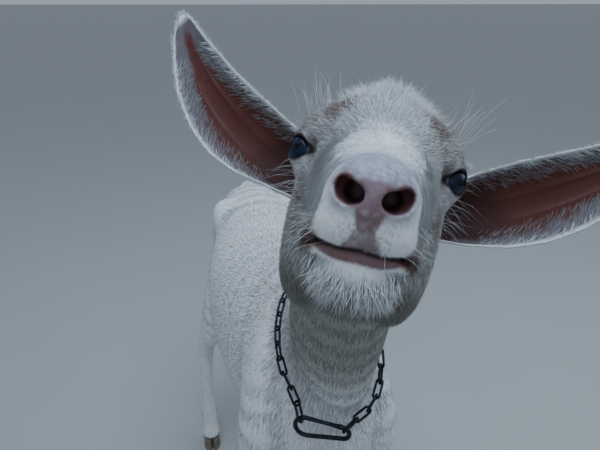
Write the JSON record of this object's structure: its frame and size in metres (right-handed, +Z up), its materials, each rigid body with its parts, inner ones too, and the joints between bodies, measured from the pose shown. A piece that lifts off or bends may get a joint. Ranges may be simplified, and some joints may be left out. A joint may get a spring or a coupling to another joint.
{
  "type": "nanny goat",
  "caption": "Life-size standing white nanny goat with a raised, turned head, wide drooping ears, cloven hooves, udder, short tail and a steel chain collar with a spring snap.",
  "frame": {"origin": "on the floor, under the middle of the goat's bounding box", "axes": "-Y the way the body faces, +X the goat's left, +Z up"},
  "size_m": [0.3953, 1.0767, 1.029],
  "materials": {
    "white_coat": "short white coat",
    "ear_and_udder_skin": "bare pink skin, thinly haired",
    "eye": "wet and dark",
    "hoof_horn": "worn horn",
    "black_steel": "blue-black, worn"
  },
  "bodies": {
    "root": {"collar_link_01": "black_steel", "collar_link_02": "black_steel", "collar_link_03": "black_steel", "collar_link_04": "black_steel", "collar_link_05": "black_steel", "collar_link_06": "black_steel", "collar_link_07": "black_steel", "collar_link_08": "black_steel", "collar_link_09": "black_steel", "collar_link_10": "black_steel", "collar_link_11": "black_steel", "collar_link_12": "black_steel", "collar_link_13": "black_steel", "collar_link_14": "black_steel", "collar_link_15": "black_steel", "collar_link_16": "black_steel", "collar_link_17": "black_steel", "collar_link_18": "black_steel", "collar_link_19": "black_steel", "collar_link_20": "black_steel", "collar_link_21": "black_steel", "collar_link_22": "black_steel", "collar_link_23": "black_steel", "collar_link_24": "black_steel", "collar_link_25": "black_steel", "collar_snap": "black_steel", "collar_snap_gate": "black_steel", "dewclaw_front_left_a": "hoof_horn", "dewclaw_front_left_b": "hoof_horn", "dewclaw_front_right_a": "hoof_horn", "dewclaw_front_right_b": "hoof_horn", "dewclaw_hind_left_a": "hoof_horn", "dewclaw_hind_left_b": "hoof_horn", "dewclaw_hind_right_a": "hoof_horn", "dewclaw_hind_right_b": "hoof_horn", "ear_left": "ear_and_udder_skin", "ear_right": "ear_and_udder_skin", "eye_left": "eye", "eye_right": "eye", "foreleg_left": "white_coat", "foreleg_right": "white_coat", "head": "white_coat", "hindleg_left": "white_coat", "hindleg_right": "white_coat", "hoof_front_left_a": "hoof_horn", "hoof_front_left_b": "hoof_horn", "hoof_front_right_a": "hoof_horn", "hoof_front_right_b": "hoof_horn", "hoof_hind_left_a": "hoof_horn", "hoof_hind_left_b": "hoof_horn", "hoof_hind_right_a": "hoof_horn", "hoof_hind_right_b": "hoof_horn", "neck": "white_coat", "tail": "white_coat", "torso": "white_coat", "udder": "ear_and_udder_skin"}
  },
  "joints": []
}
